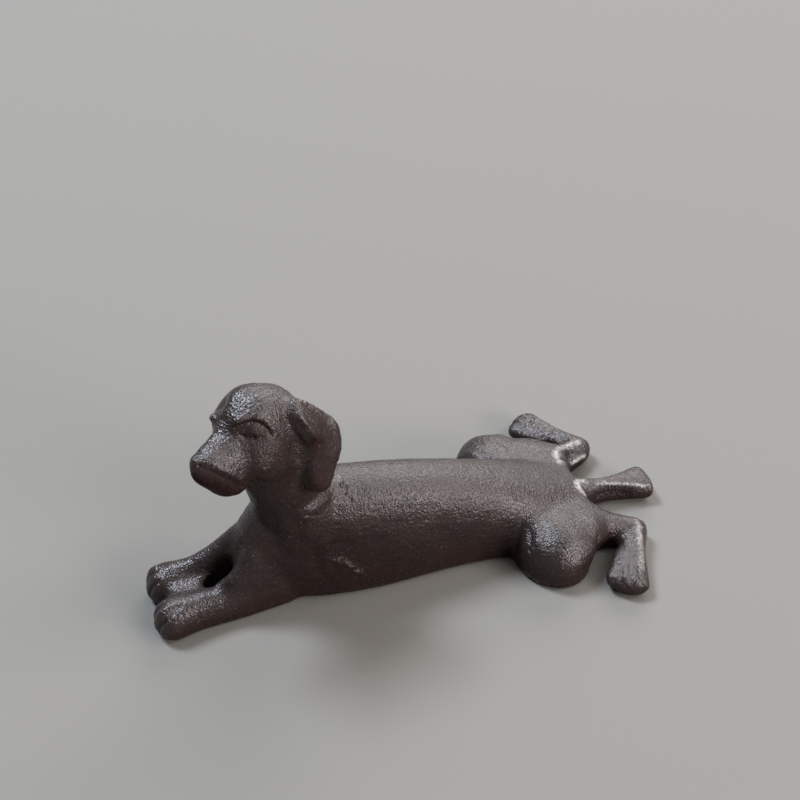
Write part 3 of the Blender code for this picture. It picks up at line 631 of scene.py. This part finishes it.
# Lines of the head are given on its right side, in millimetres of its own frame.
RUBBED_AND_LIT_EAR_LINES = (
    ([(18.4, 14.0, 3.6), (22.4, 14.8, 0.4), (25.0, 15.6, -3.6), (27.2, 16.2, -9.0),
      (28.4, 16.2, -14.4), (28.8, 16.0, -19.0)], 2.0, 0.42),
)
COMBED_LINES = (
    ([(84.0, -5.0, 10.0), (92.0, -5.2, 9.0), (99.0, -6.2, 8.0), (108.0, -8.4, 7.0)], 4.0, 1.0),
    ([(79.4, -4.0, 14.0), (79.0, -8.0, 13.0)], 3.0, 0.8),
    ([(83.0, 16.0, 12.0), (86.0, 20.0, 11.0), (91.0, 23.0, 10.0)], 3.2, 1.0),
)
COMBED_BROW_LINES = (
    ([(-4.0, -3.0, 6.6), (-1.4, -4.6, 9.0), (1.2, -5.4, 10.8)], 4.6, 0.35),
)
# Painted shade: lines on the chin, the cheeks under the eyes, the eye hollows and the lower ears, which
# dull the iron to dark.
PAINTED_SHADE_LINES = (
    ([(-21.6, 1.4, -3.4), (-19.6, 3.0, -7.0), (-16.6, 3.6, -12.0), (-12.0, 3.4, -15.6)], 5.0, 1.0),
    ([(-4.0, 9.6, -3.4), (0.6, 11.6, -6.6), (4.6, 12.0, -12.0)], 4.6, 0.75),
    ([(17.0, 17.6, -16.0), (16.2, 17.6, -21.0), (14.0, 17.8, -27.0), (9.2, 17.2, -29.8)], 4.6, 1.0),
    ([(-2.8, 8.4, 2.4), (-0.2, 10.6, 1.2), (1.5, 12.2, -0.6)], 2.5, 0.8),
    ([(21.0, 17.4, -14.0), (21.0, 17.6, -21.0), (19.0, 17.8, -28.0)], 4.0, 0.7),
)


def on_head_sides(lines, hands=(-1, 1)):
    """Painted lines of the head, in millimetres of the part's frame."""
    return [(on_head(both(hand, points)), width, strength)
            for hand in hands for points, width, strength in lines]


def painted(clay, *brushes):
    """How strongly each point is met by painted lines, each brush with its fade and power."""
    values = np.zeros(len(clay.places))
    for lines, fade, power in brushes:
        for points, width, strength in lines:
            near, shape, _ = clay.along(points, width, fade, power)
            values[near] = np.maximum(values[near], shape * strength)
    return values


def paint_marks(clay):
    """Writes the pale edges, part wear and part painted highlight, the tool's combing, and painted
    shade.
    """
    brushes = {
        "rubbed_and_lit": ((RUBBED_AND_LIT_LINES, 0.15, 2.0), (on_head_sides(RUBBED_AND_LIT_EAR_LINES), 0.2, 2.0)),
        "combed": ((COMBED_LINES, 0.15, 2.0), (on_head_sides(COMBED_BROW_LINES, [1]), 0.0, 3.0)),
        "painted_shade": ((on_head_sides(PAINTED_SHADE_LINES), 0.0, 5.0),),
    }
    for name, lines in brushes.items():
        write_mark(clay.mesh, name, painted(clay, *lines))


def add_node(tree, kind, place, **settings):
    node = tree.nodes.new(kind)
    node.location = place
    for name, value in settings.items():
        setattr(node, name, value)
    return node


def noise_node(tree, place, vector, size, detail, roughness):
    made = add_node(tree, "ShaderNodeTexNoise", place)
    made.inputs["Scale"].default_value = 1.0 / size
    made.inputs["Detail"].default_value = detail
    made.inputs["Roughness"].default_value = roughness
    tree.links.new(vector, made.inputs["Vector"])
    return made


def grain_group():
    """A shader node group of heaped grains: a fine height and a slow patchy mask."""
    group = bpy.data.node_groups.new("heaped_grains", "ShaderNodeTree")
    face = group.interface
    face.new_socket("Vector", in_out="INPUT", socket_type="NodeSocketVector")
    size = face.new_socket("Per metre", in_out="INPUT", socket_type="NodeSocketFloat")
    size.default_value = 1000.0
    face.new_socket("Height", in_out="OUTPUT", socket_type="NodeSocketFloat")
    face.new_socket("Patches", in_out="OUTPUT", socket_type="NodeSocketFloat")
    entry = add_node(group, "NodeGroupInput", (-900, 0))
    leave = add_node(group, "NodeGroupOutput", (500, 0))
    coarse = add_node(group, "ShaderNodeTexNoise", (-500, 300))
    coarse.inputs["Detail"].default_value = 3.0
    coarse.inputs["Roughness"].default_value = 0.62
    cells = add_node(group, "ShaderNodeTexVoronoi", (-500, 0), feature="SMOOTH_F1")
    cells.inputs["Smoothness"].default_value = 0.6
    slow_scale = add_node(group, "ShaderNodeMath", (-700, -300), operation="MULTIPLY")
    slow_scale.inputs[1].default_value = 0.055
    slow = add_node(group, "ShaderNodeTexNoise", (-500, -300))
    slow.inputs["Detail"].default_value = 2.0
    blend = add_node(group, "ShaderNodeMix", (-100, 150), data_type="FLOAT")
    blend.inputs["Factor"].default_value = 0.45
    spread = add_node(group, "ShaderNodeMapRange", (-100, -300))
    spread.inputs["From Min"].default_value = 0.35
    spread.inputs["From Max"].default_value = 0.65
    link = group.links.new
    for texture in (coarse, cells, slow):
        link(entry.outputs["Vector"], texture.inputs["Vector"])
    link(entry.outputs["Per metre"], coarse.inputs["Scale"])
    link(entry.outputs["Per metre"], cells.inputs["Scale"])
    link(entry.outputs["Per metre"], slow_scale.inputs[0])
    link(slow_scale.outputs[0], slow.inputs["Scale"])
    link(coarse.outputs["Fac"], blend.inputs["A"])
    link(cells.outputs["Distance"], blend.inputs["B"])
    link(slow.outputs["Fac"], spread.inputs["Value"])
    link(blend.outputs["Result"], leave.inputs["Height"])
    link(spread.outputs["Result"], leave.inputs["Patches"])
    return group


def grains_node(tree, vector, size):
    """Heaped grains of a given size. All materials share the one group."""
    group = bpy.data.node_groups.get("heaped_grains") or grain_group()
    made = add_node(tree, "ShaderNodeGroup", (-1100, 0), node_tree=group)
    made.inputs["Per metre"].default_value = 1.0 / size
    tree.links.new(vector, made.inputs["Vector"])
    return made


def mark_node(tree, place, name):
    """What write_mark left on the mesh."""
    return add_node(tree, "ShaderNodeAttribute", place, attribute_name=name).outputs["Fac"]


def new_material(name):
    material = bpy.data.materials.new(name)
    material.use_nodes = True
    shader = material.node_tree.nodes["Principled BSDF"]
    shader.location = (600, 0)
    place = add_node(material.node_tree, "ShaderNodeTexCoord", (-1300, 0))
    return material, shader, place


def ranged(tree, place, value, low, high, to_low, to_high):
    """A value between low and high, stretched to lie between to_low and to_high."""
    made = add_node(tree, "ShaderNodeMapRange", place)
    made.inputs["From Min"].default_value = low
    made.inputs["From Max"].default_value = high
    made.inputs["To Min"].default_value = to_low
    made.inputs["To Max"].default_value = to_high
    tree.links.new(value, made.inputs["Value"])
    return made.outputs["Result"]


def mixed_colour(tree, place, factor, first, second):
    """A blend of two colours, each a socket or three numbers."""
    made = add_node(tree, "ShaderNodeMix", place, data_type="RGBA")
    tree.links.new(factor, made.inputs["Factor"])
    for name, colour in (("A", first), ("B", second)):
        socket = next(s for s in made.inputs if s.name == name and s.type == "RGBA")
        if isinstance(colour, bpy.types.NodeSocket):
            tree.links.new(colour, socket)
        else:
            socket.default_value = (*colour, 1.0)
    return next(s for s in made.outputs if s.type == "RGBA")


def joined(tree, place, operation, *values):
    """A math node of two or three values, each a socket or a number."""
    made = add_node(tree, "ShaderNodeMath", place, operation=operation)
    for socket, value in zip(made.inputs, values):
        if isinstance(value, bpy.types.NodeSocket):
            tree.links.new(value, socket)
        else:
            socket.default_value = value
    return made.outputs[0]


def wave_node(tree, place, vector, spacing):
    """Level stripes, spacing apart, a little wavering."""
    made = add_node(tree, "ShaderNodeTexWave", place, wave_type="BANDS", bands_direction="Z")
    made.inputs["Scale"].default_value = math.tau / (20.0 * spacing)
    made.inputs["Distortion"].default_value = 2.5
    made.inputs["Detail"].default_value = 2.0
    made.inputs["Detail Scale"].default_value = 0.6
    tree.links.new(vector, made.inputs["Vector"])
    return made


def bump_node(tree, place, height, distance):
    made = add_node(tree, "ShaderNodeBump", place)
    made.inputs["Distance"].default_value = distance
    tree.links.new(height, made.inputs["Height"])
    return made


def wear_and_highlight_mask(tree, vector):
    """Where the black is rubbed off at points that stand out, and painted edges, part wear and part
    highlight, frayed.
    """
    frayed = noise_node(tree, (-1100, -600), vector, 0.0015, 4.0, 0.7).outputs["Fac"]
    proud = mark_node(tree, (-1100, -300), "proud")
    uneven = joined(tree, (-900, -300), "MULTIPLY", proud, frayed)
    worn = ranged(tree, (-700, -300), uneven, 0.16, 0.42, 0.0, 0.7)
    # Painted highlight mixed with wear: the painted pale edges.
    rubbed_and_lit = mark_node(tree, (-1100, -900), "rubbed_and_lit")
    torn = joined(tree, (-900, -600), "MULTIPLY_ADD", frayed, 2.4, -1.2)
    share = joined(tree, (-700, -900), "ADD", rubbed_and_lit, torn)
    bare_and_lit = ranged(tree, (-500, -900), share, 0.30, 0.95, 0.0, 0.9)
    return joined(tree, (-300, -300), "MAXIMUM", worn, bare_and_lit)


def iron_colour(tree, vector, look, height, top_lit):
    """Black iron browned in patches, tops paler as painted top light, grains paler, edges worn and
    highlit.
    """
    browning = noise_node(tree, (-1100, 300), vector, 0.016, 3.0, 0.6)
    brown = ranged(tree, (-900, 300), browning.outputs["Fac"], 0.42, 0.66, 0.0, 0.85)
    colour = mixed_colour(tree, (-700, 300), brown, look.iron, look.rust)
    colour = mixed_colour(tree, (-500, 300), top_lit, colour, look.top_lit_iron)
    tops = ranged(tree, (-700, 0), height, 0.45, 0.65, 0.0, 0.45)
    paler = [min(1.0, c * 2.2) for c in look.iron]
    colour = mixed_colour(tree, (-300, 300), tops, colour, paler)
    return mixed_colour(tree, (-100, 300), wear_and_highlight_mask(tree, vector), colour, look.worn_and_lit_iron)


def blackened_iron(look):
    """Sand-cast iron, blackened and waxed, its tops paler as painted top light, dulled by painted
    shade.
    """
    material, shader, place = new_material("blackened_sand_cast_iron")
    tree = material.node_tree
    link = tree.links.new
    vector = place.outputs["Object"]
    grains = grains_node(tree, vector, look.grain_size)
    facing = add_node(tree, "ShaderNodeSeparateXYZ", (-1100, 600))
    link(place.outputs["Normal"], facing.inputs["Vector"])
    # Painted top light: the more a face turns upwards, the paler it is painted and the more it
    # reflects.
    top_lit = ranged(tree, (-900, 600), facing.outputs["Z"], -0.05, 0.8, 0.0, 1.0)
    # Painted shade: where its lines lie, the iron loses its metal and its specular reflection.
    unshaded = joined(tree, (-900, 900), "SUBTRACT", 1.0, mark_node(tree, (-1100, 900), "painted_shade"))
    top_lit_gloss = ranged(tree, (-500, 600), top_lit, 0.0, 1.0, 0.2, 0.95)
    gloss = ranged(tree, (-300, 0), grains.outputs["Patches"], 0.0, 1.0, 0.25, 0.35)
    stripes = wave_node(tree, (-900, -1200), vector, look.comb_spacing)
    combing = joined(tree, (-500, -1200), "MULTIPLY", mark_node(tree, (-1100, -1200), "combed"),
                     stripes.outputs["Fac"])
    combs = bump_node(tree, (0, -600), combing, look.comb_depth)
    bump = bump_node(tree, (250, -300), grains.outputs["Height"], look.relief)
    link(combs.outputs["Normal"], bump.inputs["Normal"])
    link(iron_colour(tree, vector, look, grains.outputs["Height"], top_lit),
         shader.inputs["Base Color"])
    link(ranged(tree, (-300, 900), unshaded, 0.0, 1.0, 0.0, 0.25), shader.inputs["Metallic"])
    link(gloss, shader.inputs["Roughness"])
    link(joined(tree, (-300, 600), "MULTIPLY", top_lit_gloss, unshaded), shader.inputs["Specular IOR Level"])
    link(bump.outputs["Normal"], shader.inputs["Normal"])
    return material


def pad_felt(look):
    """Dense black felt: a short nap, matt with a faint sheen."""
    material, shader, place = new_material("dense_black_felt")
    tree = material.node_tree
    link = tree.links.new
    grains = grains_node(tree, place.outputs["Object"], look.nap_size)
    tufts = ranged(tree, (-600, 200), grains.outputs["Height"], 0.3, 0.8, 0.0, 1.0)
    lighter = [c * 2.0 for c in look.felt]
    link(mixed_colour(tree, (-300, 200), tufts, look.felt, lighter), shader.inputs["Base Color"])
    shader.inputs["Roughness"].default_value = 0.95
    shader.inputs["Sheen Weight"].default_value = 0.3
    bump = bump_node(tree, (250, -300), grains.outputs["Height"], look.nap_size / 2)
    link(bump.outputs["Normal"], shader.inputs["Normal"])
    return material


def add_object(name, mesh, material):
    made = bpy.data.objects.new(name, mesh)
    bpy.context.scene.collection.objects.link(made)
    mesh.materials.clear()
    mesh.materials.append(material)
    return made


class DOORSTOP_OT_casting(bpy.types.Operator):
    """Dress the iron casting"""
    bl_idname = "doorstop.casting"
    bl_label = "Iron casting"

    def execute(self, context):
        look = context.scene.doorstop_casting
        mesh = melted_skin(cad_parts["dog_casting"], look.grid)
        clay = Clay(mesh, look.stroke_depth)
        model_head(clay)
        model_body(clay)
        model_limbs(clay)
        raise_grain(clay, look.grain_size, look.grain_height)
        keep_in_box(mesh)
        holder = bpy.data.objects.new("skin", mesh)
        context.scene.collection.objects.link(holder)
        mesh.calc_loop_triangles()
        thin = holder.modifiers.new("thin", "DECIMATE")
        thin.ratio = min(1.0, FACE_LIMIT / len(mesh.loop_triangles))
        mesh = applied(holder)
        keep_in_box(mesh)
        mesh.shade_smooth()
        mark_wear(mesh)
        paint_marks(Clay(mesh, look.stroke_depth))
        casting = add_object("iron_dog", mesh, blackened_iron(look))
        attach(casting, "root")
        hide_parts("dog_casting")
        return {"FINISHED"}


def felt_disc(name, node, rim, material):
    """A round pad with softened cut edges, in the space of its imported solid."""
    low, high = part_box(node)
    centre = (low + high) / 2
    radius = (high.x - low.x) / 2
    height = high.z - low.z
    disc = bmesh.new()
    bmesh.ops.create_cone(disc, cap_ends=True, segments=PAD_SIDES, radius1=radius,
                          radius2=radius, depth=height, matrix=Matrix.Translation(centre))
    edges = [e for e in disc.edges if abs(e.verts[0].co.z - e.verts[1].co.z) < height / 10]
    bmesh.ops.bevel(disc, geom=edges, offset=rim, segments=PAD_RIM_STEPS, profile=0.5,
                    affect="EDGES")
    mesh = bpy.data.meshes.new(name)
    disc.to_mesh(mesh)
    disc.free()
    mesh.shade_smooth()
    pad = add_object(name, mesh, material)
    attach(pad, "root")
    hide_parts(node)


class DOORSTOP_OT_floor_pads(bpy.types.Operator):
    """Dress the four felt floor pads"""
    bl_idname = "doorstop.floor_pads"
    bl_label = "Floor pads"

    def execute(self, context):
        look = context.scene.doorstop_pads
        material = pad_felt(look)
        for end in ("front", "rear"):
            for side in ("left", "right"):
                felt_disc(f"{end}_{side}_felt", f"{end}_pad_{side}", look.rim_radius, material)
        return {"FINISHED"}


def plain_floor(colour):
    mesh = bpy.data.meshes.new("floor")
    half = FLOOR_HALF_SIZE
    mesh.from_pydata([(-half, -half, 0), (half, -half, 0), (half, half, 0), (-half, half, 0)],
                     [], [(0, 1, 2, 3)])
    material = bpy.data.materials.new("plain_floor")
    material.use_nodes = True
    shader = material.node_tree.nodes["Principled BSDF"]
    shader.inputs["Base Color"].default_value = (*colour, 1.0)
    shader.inputs["Roughness"].default_value = 0.9
    shader.inputs["Specular IOR Level"].default_value = 0.2
    return add_object("floor", mesh, material)


def soft_box(name, place, aim, size, power, colour):
    lamp = bpy.data.lights.new(name, "AREA")
    lamp.shape = "RECTANGLE"
    lamp.size, lamp.size_y = size
    lamp.energy = power
    lamp.color = colour
    holder = bpy.data.objects.new(name, lamp)
    holder.location = place
    holder.rotation_euler = (Vector(aim) - Vector(place)).to_track_quat("-Z", "Y").to_euler()
    bpy.context.scene.collection.objects.link(holder)


def camera_at(look):
    camera = bpy.data.cameras.new("camera")
    camera.lens = look.lens
    camera.sensor_width = SENSOR_WIDTH
    camera.clip_start = CLIP_START
    holder = bpy.data.objects.new("camera", camera)
    back = Vector((math.sin(look.azimuth) * math.cos(look.elevation),
                   -math.cos(look.azimuth) * math.cos(look.elevation),
                   math.sin(look.elevation)))
    holder.location = Vector(look.aim) + back * look.reach
    facing = (-back).to_track_quat("-Z", "Y").to_matrix()
    holder.rotation_euler = (facing @ Matrix.Rotation(look.roll, 3, "Z")).to_euler()
    bpy.context.scene.collection.objects.link(holder)
    bpy.context.scene.camera = holder


class DOORSTOP_OT_stage(bpy.types.Operator):
    """Set the floor, the lamps and the camera"""
    bl_idname = "doorstop.stage"
    bl_label = "Stage"

    def execute(self, context):
        look = context.scene.doorstop_stage
        plain_floor(look.floor)
        for lamp in LAMPS:
            soft_box(*lamp)
        world = bpy.data.worlds.new("studio")
        world.use_nodes = True
        background = world.node_tree.nodes["Background"]
        background.inputs["Color"].default_value = (*WARM_WHITE, 1.0)
        background.inputs["Strength"].default_value = WORLD_STRENGTH
        context.scene.world = world
        context.scene.view_settings.view_transform = "Standard"
        camera_at(look)
        return {"FINISHED"}


class DOORSTOP_PT_panel(bpy.types.Panel):
    """Sizes, colours and steps of the doorstop"""
    bl_label = "Cast iron doorstop"
    bl_idname = "DOORSTOP_PT_panel"
    bl_space_type = "VIEW_3D"
    bl_region_type = "UI"
    bl_category = "Doorstop"

    def draw(self, context):
        scene = context.scene
        for title, group, operator in (("Casting", scene.doorstop_casting, "doorstop.casting"),
                                       ("Pads", scene.doorstop_pads, "doorstop.floor_pads"),
                                       ("Stage", scene.doorstop_stage, "doorstop.stage")):
            box = self.layout.box()
            box.label(text=title)
            for name in group.__annotations__:
                box.prop(group, name)
            box.operator(operator)


CLASSES = (CastingLook, PadLook, StageLook, DOORSTOP_OT_casting, DOORSTOP_OT_floor_pads,
           DOORSTOP_OT_stage, DOORSTOP_PT_panel)
GROUPS = {"doorstop_casting": CastingLook, "doorstop_pads": PadLook, "doorstop_stage": StageLook}


def register():
    for made in CLASSES:
        bpy.utils.register_class(made)
    for name, group in GROUPS.items():
        setattr(bpy.types.Scene, name, bpy.props.PointerProperty(type=group))


def unregister():
    for name in GROUPS:
        delattr(bpy.types.Scene, name)
    for made in reversed(CLASSES):
        bpy.utils.unregister_class(made)


def main():
    register()
    bpy.ops.doorstop.stage()
    bpy.ops.doorstop.casting()
    bpy.ops.doorstop.floor_pads()


if __name__ == "__main__":
    main()
